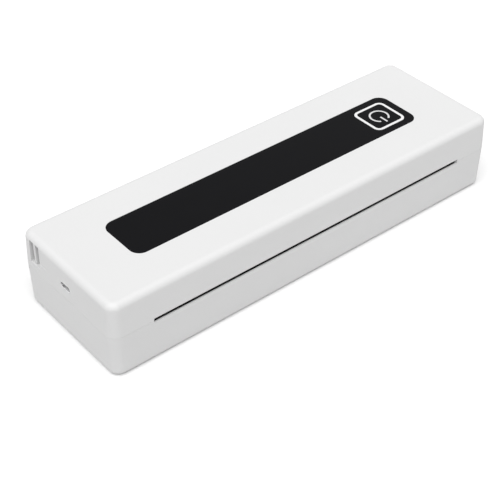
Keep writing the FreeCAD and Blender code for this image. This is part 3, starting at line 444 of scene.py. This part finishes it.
def glazed_strip():
    """Glazed ceramic of the print head, with its dark line of heating dots and its resin bead."""
    finish = Finish("glazed_strip", {"Specular IOR Level": 0.55})
    low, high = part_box("head_strip")
    y = finish.axes()[1]
    from_front = (y - low.y) / (high.y - low.y)
    dots, bead = (abs(from_front - middle).step(outer, inner)
                  for middle, outer, inner in (DOT_LINE_SHARES, RESIN_BEAD_SHARES))
    mottle = finish.noise(GLAZE_MOTTLE, 3)
    body = finish.blend(shade(colours().ceramic, 0.93), colours().ceramic, mottle)
    lined = finish.blend(body, shade(colours().copper, 0.18), dots)
    finish.feed("Base Color", finish.blend(lined, shade(colours().chip, 0.9), bead))
    finish.feed("Roughness", 0.16 + 0.08 * mottle + 0.3 * bead)
    finish.relief(dots * 0.4 + bead, BEAD_RELIEF)
    return finish.material


def flat_cable():
    """White film over thin tinned lanes."""
    finish = Finish("flat_cable", {"Specular IOR Level": 0.5})
    x = finish.axes()[0]
    lanes = (x * (2 * math.pi / LANE_PITCH)).sine().step(-0.2, 0.2)
    sheen = finish.noise(FILM_SHEEN)
    finish.feed("Base Color", finish.blend(colours().film, shade(colours().steel, 0.75), lanes * 0.6))
    finish.feed("Roughness", 0.25 + 0.12 * sheen)
    finish.relief(lanes, LANE_RELIEF)
    return finish.material


# Plastics: colour, roughness, grain and relief in millimetres, gloss
PLASTICS = {
    "white_case": ("case", 0.46, 0.35, 0.012, 0.4),
    "dark_frame": ("frame", 0.55, 0.5, 0.025, 0.35),
    "grey_cradle": ("cradle", 0.5, 0.45, 0.02, 0.35),
    "gear_plastic": ("gear", 0.38, 0.4, 0.008, 0.5),
    "bush_plastic": ("bush", 0.42, 0.4, 0.01, 0.5),
    "chip_black": ("chip", 0.6, 0.14, 0.012, 0.35),
    # The tongue's pale colour is painted light in the port's shaded opening.
    "port_plastic": ("tongue", 0.5, 0.2, 0.006, 0.4),
}

# Metals: colour, roughness, grain and relief in millimetres, how the grain is drawn out
METALS = {
    "steel": ("steel", 0.26, 0.2, 0.006, TURNED_ROUND_X),
    "plated_sheet": ("plate", 0.34, 0.8, 0.008, EVEN),
    # The port shell's near-white colour is partly painted light in the port's shaded opening.
    "port_steel": ("port", 0.3, 0.3, 0.006, DRAWN_ALONG_X),
    "port_gold": ("copper", 0.24, 0.1, 0.004, EVEN),
    "head_metal": ("alloy", 0.33, 0.25, 0.01, MILLED_ALONG_X),
}

# White inks: colour
INKS = {"white_mark": "mark", "key_frame": "key_frame"}

# Finishes with a function of their own
SPECIAL_FINISHES = {
    "black_panel": satin_black,
    "black_rubber": ground_rubber,
    "board_green": solder_mask,
    "battery_foil": pouch_foil,
    "head_ceramic": glazed_strip,
    "ribbon_film": flat_cable,
}


def new_finish(name):
    """Makes the finish of that name."""
    if name in INKS:
        return printed_white(name, getattr(colours(), INKS[name]))
    for table, make in ((PLASTICS, moulded_plastic), (METALS, bright_metal)):
        if name in table:
            colour, roughness, grain, depth, gloss_or_stretch = table[name]
            return make(name, getattr(colours(), colour), roughness, grain * MM, depth * MM,
                        gloss_or_stretch)
    return SPECIAL_FINISHES[name]()


def finish_of(name):
    """The material of that name, made on its first use."""
    label = name + "_finish"
    material = bpy.data.materials.get(label)
    if material is None:
        material = new_finish(name)
        material.name = label
    return material


# Meshes
WELD = 0.0005 * MM
FLAT_ANGLE = math.radians(0.05)
SHARP_ANGLE = math.radians(32)


def slot_of(node):
    """The material slot that the record gives a node."""
    for part in frame["record"]["subparts"]:
        if part["node"] == node:
            return part["material_slot"]
    raise RuntimeError("no material slot for " + node)


def body_of(node):
    """The body that a node moves with."""
    for body, nodes in frame["record"]["behaviour"]["bodies"].items():
        if node in nodes:
            return body
    raise RuntimeError("no body for " + node)


def settle(piece):
    """Turns a piece with modifiers into a plain mesh."""
    graph = bpy.context.evaluated_depsgraph_get()
    mesh = bpy.data.meshes.new_from_object(piece.evaluated_get(graph), preserve_all_data_layers=True,
                                           depsgraph=graph)
    piece.modifiers.clear()
    piece.data = mesh


def attach(piece, node):
    """Puts a finished piece in its node's place, on the node's body."""
    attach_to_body(piece, body_of(node))
    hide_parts(node)


def finished(name, node, edge, segments=2, finish=None):
    """Copy of a node's mesh with merged doubles, rounded edges and its slot's finish or another."""
    mesh = frame["nodes"][node].data.copy()
    work = bmesh.new()
    work.from_mesh(mesh)
    bmesh.ops.remove_doubles(work, verts=work.verts, dist=WELD)
    bmesh.ops.dissolve_limit(work, angle_limit=FLAT_ANGLE, verts=work.verts, edges=work.edges)
    for face in work.faces:
        face.smooth = True
    for line in work.edges:
        line.smooth = line.calc_face_angle(0) < SHARP_ANGLE
    work.to_mesh(mesh)
    work.free()
    mesh.materials.clear()
    mesh.materials.append(finish_of(finish or slot_of(node)))
    piece = bpy.data.objects.new(name, mesh)
    bpy.context.scene.collection.objects.link(piece)
    if edge:
        bevel = piece.modifiers.new("edges", "BEVEL")
        bevel.limit_method = "ANGLE"
        bevel.angle_limit = SHARP_ANGLE
        bevel.width = edge
        bevel.segments = segments
        bevel.harden_normals = True
    weighted = piece.modifiers.new("faces", "WEIGHTED_NORMAL")
    weighted.keep_sharp = True
    settle(piece)
    attach(piece, node)
    return piece


# Wound springs
STEPS_PER_TURN = 28
WIRE_SIDES = 10


def geometry_tree(name, inputs):
    """Empty Geometry Nodes tree with named inputs; gives the tree and its input node."""
    group = bpy.data.node_groups.new(name, "GeometryNodeTree")
    group.interface.new_socket("Geometry", in_out="INPUT", socket_type="NodeSocketGeometry")
    for label, kind in inputs.items():
        group.interface.new_socket(label, in_out="INPUT", socket_type=kind)
    group.interface.new_socket("Geometry", in_out="OUTPUT", socket_type="NodeSocketGeometry")
    tree = NodeTree(group)
    return tree, tree.add("NodeGroupInput")


def end_tree(tree, shape, material):
    """Realises the instances, paints them and links them to the tree's output."""
    real = tree.wire(tree.add("GeometryNodeRealizeInstances", None, {"Geometry": shape}))
    painted = tree.add("GeometryNodeSetMaterial", None, {"Geometry": real, "Material": material})
    output = tree.add("NodeGroupOutput")
    tree.tree.links.new(painted.outputs[0], output.inputs[0])


def spring_tree():
    """A wound spring at each point of the mesh, standing on the point along +Z before it is turned."""
    tree, entry = geometry_tree("wound_spring", {
        "Coil Radius": "NodeSocketFloat", "Wire Radius": "NodeSocketFloat", "Height": "NodeSocketFloat",
        "Turns": "NodeSocketFloat", "Rotation": "NodeSocketVector", "Material": "NodeSocketMaterial"})
    radius = tree.wire(entry, "Coil Radius")
    spiral = tree.add("GeometryNodeCurveSpiral", None, {
        "Resolution": STEPS_PER_TURN, "Rotations": tree.wire(entry, "Turns"), "Start Radius": radius,
        "End Radius": radius, "Height": tree.wire(entry, "Height")})
    wire = tree.add("GeometryNodeCurvePrimitiveCircle", None,
                    {"Resolution": WIRE_SIDES, "Radius": tree.wire(entry, "Wire Radius")})
    tube = tree.add("GeometryNodeCurveToMesh", None, {
        "Curve": tree.wire(spiral), "Profile Curve": tree.wire(wire), "Fill Caps": True})
    smooth = tree.add("GeometryNodeSetShadeSmooth", None, {"Geometry": tree.wire(tube)})
    turned = tree.add("GeometryNodeTransform", None, {
        "Geometry": tree.wire(smooth), "Rotation": tree.wire(entry, "Rotation")})
    placed = tree.add("GeometryNodeInstanceOnPoints", None, {
        "Points": tree.wire(entry, "Geometry"), "Instance": tree.wire(turned)})
    end_tree(tree, tree.wire(placed), tree.wire(entry, "Material"))
    return tree.tree


def grown(name, points, edges, group, values):
    """Piece that a Geometry Nodes tree grows on points or along edges, as a plain mesh."""
    mesh = bpy.data.meshes.new(name)
    mesh.from_pydata(points, edges, [])
    piece = bpy.data.objects.new(name, mesh)
    bpy.context.scene.collection.objects.link(piece)
    modifier = piece.modifiers.new(name, "NODES")
    modifier.node_group = group
    for item in group.interface.items_tree:
        if item.name in values:
            modifier[item.identifier] = values[item.name]
    settle(piece)
    return piece


def islands(node):
    """Boxes of the separate solids of a node, as pairs of corners."""
    work = bmesh.new()
    work.from_mesh(frame["nodes"][node].data)
    bmesh.ops.remove_doubles(work, verts=work.verts, dist=WELD)
    left = set(work.verts)
    boxes = []
    while left:
        reached = {left.pop()}
        todo = list(reached)
        while todo:
            for line in todo.pop().link_edges:
                for vert in line.verts:
                    if vert in left:
                        left.remove(vert)
                        reached.add(vert)
                        todo.append(vert)
        boxes.append(tuple(Vector(pick(vert.co[axis] for vert in reached) for axis in range(3))
                           for pick in (min, max)))
    work.free()
    return boxes


def wound_spring(name, node, points, half_width, height, wire, turns, turn):
    """Wound spring in place of the sleeve that a node has."""
    piece = grown(name, points, [], spring_tree(), {
        "Coil Radius": half_width - wire, "Wire Radius": wire, "Height": height - 2 * wire,
        "Turns": turns, "Rotation": turn, "Material": finish_of(slot_of(node))})
    attach(piece, node)
    return piece


def joint_of(name):
    """The record's entry for a joint."""
    for joint in frame["record"]["behaviour"]["joints"]:
        if joint["name"] == name:
            return joint
    raise RuntimeError("no joint " + name)


def make_head_springs():
    """Four springs between the head and the roof of its bay."""
    wire = sizes().head_wire
    boxes = islands("head_springs")
    low, high = boxes[0]
    points = [((a.x + b.x) / 2, (a.y + b.y) / 2, a.z + wire) for a, b in boxes]
    height = high.z - low.z
    piece = wound_spring("pressure_springs", "head_springs", points, (high.x - low.x) / 2, height, wire,
                         sizes().head_turns, (0, 0, 0))
    pivot = joint_of("head_pivot")
    lift = math.radians(pivot["range_deg"][1]) * abs(points[0][1] - pivot["pos_m"][1])
    1 - lift / height
    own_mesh(piece)


def make_latch_spring():
    """Spring that pushes the latch forward, drawn at its length at rest."""
    wire = sizes().latch_wire
    low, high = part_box("latch_spring")
    travel = joint_of("latch_slide")["range_m"][1]
    start = low.y - travel
    middle = ((low.x + high.x) / 2, start + wire, (low.z + high.z) / 2)
    piece = wound_spring("return_spring", "latch_spring", [middle], (high.x - low.x) / 2, high.y - start,
                         wire, sizes().latch_turns, (-math.pi / 2, 0, 0))
    (high.y - low.y) / (high.y - start)
    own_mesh(piece)


# Rows of leads and contacts
ROW_SLACK = 0.01 * MM
LEAD_STEPS = 6
LEAD_BEND_SHARE = 0.7


def lead_tree():
    """A row of flat leads along each edge of the mesh, bent down and to the right of the edge."""
    tree, entry = geometry_tree("lead_row", {
        "Pitch": "NodeSocketFloat", "Width": "NodeSocketFloat", "Sheet": "NodeSocketFloat",
        "Reach": "NodeSocketFloat", "Drop": "NodeSocketFloat", "Material": "NodeSocketMaterial"})
    reach = tree.wire(entry, "Reach")
    drop = tree.wire(entry, "Drop")

    def point(across, height):
        return tree.wire(tree.add("ShaderNodeCombineXYZ", None, {"X": across, "Z": height}))

    bend = tree.add("GeometryNodeCurvePrimitiveBezierSegment", None, {
        "Resolution": LEAD_STEPS, "Start": point(0, drop), "End": point(reach, 0),
        "Start Handle": point(LEAD_BEND_SHARE * reach, drop),
        "End Handle": point((1 - LEAD_BEND_SHARE) * reach, 0)})
    upright = tree.add("GeometryNodeSetCurveNormal", {"mode": "Z_UP"}, {"Curve": tree.wire(bend)})
    section = tree.add("GeometryNodeCurvePrimitiveQuadrilateral", None, {
        "Width": tree.wire(entry, "Width"), "Height": tree.wire(entry, "Sheet")})
    lead = tree.add("GeometryNodeCurveToMesh", None, {
        "Curve": tree.wire(upright), "Profile Curve": tree.wire(section), "Fill Caps": True})
    row = tree.add("GeometryNodeMeshToCurve", None, {"Mesh": tree.wire(entry, "Geometry")})
    spots = tree.add("GeometryNodeCurveToPoints", {"mode": "LENGTH"}, {
        "Curve": tree.wire(row), "Length": tree.wire(entry, "Pitch")})
    turn = tree.add("FunctionNodeAlignRotationToVector", {"axis": "Y", "pivot_axis": "Z"},
                    {"Vector": tree.wire(spots, "Tangent")})
    placed = tree.add("GeometryNodeInstanceOnPoints", None, {
        "Points": tree.wire(spots), "Instance": tree.wire(lead), "Rotation": tree.wire(turn)})
    end_tree(tree, tree.wire(placed), tree.wire(entry, "Material"))
    return tree.tree


def row_ends(start, end, pitch):
    """Ends of the longest centred row of whole pitches between two points."""
    run = Vector(end) - Vector(start)
    half = math.floor(run.length / pitch - 0.5) * pitch / 2
    middle = (Vector(start) + Vector(end)) / 2
    along = run.normalized()
    return [middle - half * along, middle + (half + ROW_SLACK) * along]


def lay_rows(name, node, rows, finish, values):
    """Rows of leads, given as pairs of ends, that ride with a node."""
    points = [point for row in rows for point in row]
    edges = [(first, first + 1) for first in range(0, len(points), 2)]
    piece = grown(name, points, edges, lead_tree(), {**values, "Material": finish_of(finish)})
    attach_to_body(piece, body_of(node))


def make_leads():
    """Bent leads at the front and rear of each soldered part; the ribbon's plug has rear ones only."""
    pitch = sizes().lead_pitch
    sheet = sizes().lead_sheet
    boxes = islands("board_parts")
    plug = max(boxes, key=lambda corners: corners[1].x - corners[0].x)
    rows = []
    for low, high in boxes:
        z = low.z + sheet / 2
        rows.append(row_ends((high.x, high.y, z), (low.x, high.y, z), pitch))
        if (low, high) != plug:
            rows.append(row_ends((low.x, low.y, z), (high.x, low.y, z), pitch))
    drop = min(high.z - low.z for low, high in boxes) / 2
    lay_rows("part_leads", "board_parts", rows, "steel", {
        "Pitch": pitch, "Width": sizes().lead_width, "Sheet": sheet, "Reach": sizes().lead_reach,
        "Drop": drop})


def make_contacts():
    """Flat contacts on both faces of the charging port's tongue."""
    low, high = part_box("port_tongue")
    pitch = sizes().contact_pitch
    start = low.x + sizes().contact_back
    rows = [row_ends((start, low.y, z), (start, high.y, z), pitch) for z in (low.z, high.z)]
    lay_rows("tongue_contacts", "port_tongue", rows, "port_gold", {
        "Pitch": pitch, "Width": sizes().contact_width, "Sheet": sizes().contact_sheet,
        "Reach": high.x - start, "Drop": 0.0})


# Stage
def make_floor(stage):
    """Pale floor that shows as white and still takes the shadow."""
    reach = stage.floor_reach
    mesh = bpy.data.meshes.new("studio_floor")
    mesh.from_pydata([(-reach, -reach, 0), (reach, -reach, 0), (reach, reach, 0), (-reach, reach, 0)], [],
                     [(0, 1, 2, 3)])
    floor = bpy.data.objects.new("studio_floor", mesh)
    bpy.context.scene.collection.objects.link(floor)
    finish = Finish("studio_floor", {"Roughness": 1.0, "Specular IOR Level": 0.0})
    bounce = (stage.floor_bounce,) * 3
    finish.feed("Base Color", finish.blend(bounce, (1, 1, 1), finish.seen()))
    mesh.materials.append(finish.material)


def make_sky(stage):
    """Even light from all round, which shows as white."""
    world = bpy.data.worlds.new("studio_sky")
    world.use_nodes = True
    bpy.context.scene.world = world
    tree = NodeTree(world.node_tree)
    seen = tree.seen()
    unseen = stage.light * stage.sky
    sky = tree.add("ShaderNodeBackground", None,
                   {"Color": (1, 1, 1, 1), "Strength": unseen + (1 - unseen) * seen})
    output = tree.add("ShaderNodeOutputWorld")
    tree.tree.links.new(sky.outputs[0], output.inputs[0])


def make_lamp(stage):
    """Broad lamp overhead that gives the rest of the top face's light."""
    lamp = bpy.data.lights.new("studio_lamp", "SUN")
    slant = math.cos(stage.lamp_tilt[0]) * math.cos(stage.lamp_tilt[1])
    lamp.energy = math.pi * stage.light * (1 - stage.sky) / slant
    lamp.angle = stage.lamp_softness
    holder = bpy.data.objects.new("studio_lamp", lamp)
    holder.rotation_euler = Euler((stage.lamp_tilt[0], stage.lamp_tilt[1], 0))
    bpy.context.scene.collection.objects.link(holder)


def make_camera(stage):
    """Camera at the photograph's viewing angle."""
    camera = bpy.data.cameras.new("photo_camera")
    camera.lens = stage.camera_lens
    camera.clip_start = stage.near_clip
    holder = bpy.data.objects.new("photo_camera", camera)
    holder.location = stage.camera_place
    holder.rotation_euler = Euler((math.pi / 2 - stage.camera_elevation, 0, stage.camera_azimuth))
    bpy.context.scene.collection.objects.link(holder)
    bpy.context.scene.camera = holder


# Operators
class PRINTER_OT_stage(bpy.types.Operator):
    """Makes the floor, the light and the camera"""
    bl_idname = "printer.stage"
    bl_label = "Stage"

    def execute(self, context):
        context.scene.view_settings.view_transform = "Standard"
        stage = context.scene.printer_stage
        for make in (make_floor, make_sky, make_lamp, make_camera):
            make(stage)
        return {"FINISHED"}


class PRINTER_OT_case(bpy.types.Operator):
    """Finishes the two white case shells"""
    bl_idname = "printer.case"
    bl_label = "Case"

    def execute(self, context):
        edge = sizes().shell_edge
        finished("upper_case", "cover_shell", edge)
        finished("lower_case", "base_shell", edge)
        return {"FINISHED"}


class PRINTER_OT_latch(bpy.types.Operator):
    """Finishes the release latch and winds its return spring"""
    bl_idname = "printer.latch"
    bl_label = "Latch"

    def execute(self, context):
        finished("release_latch", "latch_slider", sizes().shell_edge)
        make_latch_spring()
        return {"FINISHED"}


class PRINTER_OT_panel(bpy.types.Operator):
    """Finishes the black panel and the power key with its marks"""
    bl_idname = "printer.panel"
    bl_label = "Panel and key"

    def execute(self, context):
        edge = sizes().panel_edge
        finished("black_panel", "top_panel", edge)
        finished("power_key", "power_button", edge)
        finished("key_frame", "button_ring", 0, finish="key_frame")
        finished("power_mark", "power_symbol", 0)
        return {"FINISHED"}


class PRINTER_OT_hinge_and_feet(bpy.types.Operator):
    """Finishes the hinge pins and the rubber feet"""
    bl_idname = "printer.hinge_and_feet"
    bl_label = "Hinge and feet"

    def execute(self, context):
        finished("hinge_steel", "hinge_pins", sizes().metal_edge)
        finished("feet", "rubber_feet", 0)
        return {"FINISHED"}


class PRINTER_OT_platen(bpy.types.Operator):
    """Finishes the platen roller, its bushes and the roll cradle"""
    bl_idname = "printer.platen"
    bl_label = "Platen and cradle"

    def execute(self, context):
        finished("roller_shaft", "platen_shaft", sizes().metal_edge)
        finished("roller_rubber", "platen_rubber", sizes().inner_edge)
        finished("roller_bushes", "platen_bushes", sizes().metal_edge)
        finished("paper_cradle", "roll_cradle", sizes().inner_edge)
        finished("cradle_fixings", "cradle_screws", sizes().metal_edge)
        return {"FINISHED"}


class PRINTER_OT_drive(bpy.types.Operator):
    """Finishes the motor, the gears and their side plate"""
    bl_idname = "printer.drive"
    bl_label = "Drive"

    def execute(self, context):
        for node in ("platen_gear", "reduction_gear", "motor_pinion"):
            finished(node + "_teeth", node, sizes().tooth_edge, 1)
        for node in ("gear_stub", "motor_shaft", "drive_motor", "drive_plate", "drive_screws"):
            finished(node + "_metal", node, sizes().metal_edge)
        return {"FINISHED"}


class PRINTER_OT_inner_frame(bpy.types.Operator):
    """Finishes the cover's inner frame, its screws and the paper sensor"""
    bl_idname = "printer.inner_frame"
    bl_label = "Inner frame"

    def execute(self, context):
        finished("frame_moulding", "inner_frame", sizes().inner_edge)
        finished("frame_fixings", "frame_screws", sizes().metal_edge)
        finished("sensor_body", "paper_sensor", sizes().metal_edge)
        return {"FINISHED"}


class PRINTER_OT_print_head(bpy.types.Operator):
    """Finishes the print head, its springs and its flat cable"""
    bl_idname = "printer.print_head"
    bl_label = "Print head"

    def execute(self, context):
        finished("heating_strip", "head_strip", sizes().metal_edge)
        finished("head_backing", "head_plate", sizes().metal_edge)
        finished("head_cable", "head_ribbon", 0)
        make_head_springs()
        return {"FINISHED"}


class PRINTER_OT_electronics(bpy.types.Operator):
    """Finishes the boards, the charging port and the battery"""
    bl_idname = "printer.electronics"
    bl_label = "Electronics"

    def execute(self, context):
        for node in ("main_board", "button_board"):
            finished(node + "_lacquer", node, sizes().metal_edge)
        for node in ("board_parts", "push_switch", "board_screws", "button_board_screws"):
            finished(node + "_soldered", node, sizes().metal_edge)
        finished("port_shell", "charging_port", sizes().metal_edge)
        finished("port_contacts", "port_tongue", sizes().metal_edge)
        finished("battery_pouch", "battery_pack", 0)
        return {"FINISHED"}


class PRINTER_OT_leads(bpy.types.Operator):
    """Lays the leads of the soldered parts and the contacts of the charging port"""
    bl_idname = "printer.leads"
    bl_label = "Leads and contacts"

    def execute(self, context):
        make_leads()
        make_contacts()
        return {"FINISHED"}


class PRINTER_PT_panel(bpy.types.Panel):
    """Lists the printer's settings and the operators that make it"""
    bl_idname = "PRINTER_PT_panel"
    bl_label = "Thermal printer"
    bl_space_type = "VIEW_3D"
    bl_region_type = "UI"
    bl_category = "Printer"

    def draw(self, context):
        for group in ("printer_sizes", "printer_colours", "printer_stage"):
            settings = getattr(context.scene, group)
            column = self.layout.column()
            for name in settings.__annotations__:
                column.prop(settings, name)
        for operator in OPERATORS:
            self.layout.operator(operator.bl_idname)


OPERATORS = (
    PRINTER_OT_stage, PRINTER_OT_case, PRINTER_OT_latch, PRINTER_OT_panel, PRINTER_OT_hinge_and_feet,
    PRINTER_OT_platen, PRINTER_OT_drive, PRINTER_OT_inner_frame, PRINTER_OT_print_head,
    PRINTER_OT_electronics, PRINTER_OT_leads,
)
GROUPS = (
    ("printer_sizes", PrinterSizes), ("printer_colours", PrinterColours), ("printer_stage", StageSettings),
)


def register():
    for name, group in GROUPS:
        bpy.utils.register_class(group)
        setattr(bpy.types.Scene, name, bpy.props.PointerProperty(type=group))
    for operator in OPERATORS:
        bpy.utils.register_class(operator)
    bpy.utils.register_class(PRINTER_PT_panel)


def unregister():
    bpy.utils.unregister_class(PRINTER_PT_panel)
    for operator in reversed(OPERATORS):
        bpy.utils.unregister_class(operator)
    for name, group in reversed(GROUPS):
        delattr(bpy.types.Scene, name)
        bpy.utils.unregister_class(group)


def main():
    """Registers the add-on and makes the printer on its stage."""
    register()
    for operator in OPERATORS:
        group, name = operator.bl_idname.split(".")
        getattr(getattr(bpy.ops, group), name)()


if __name__ == "__main__":
    main()
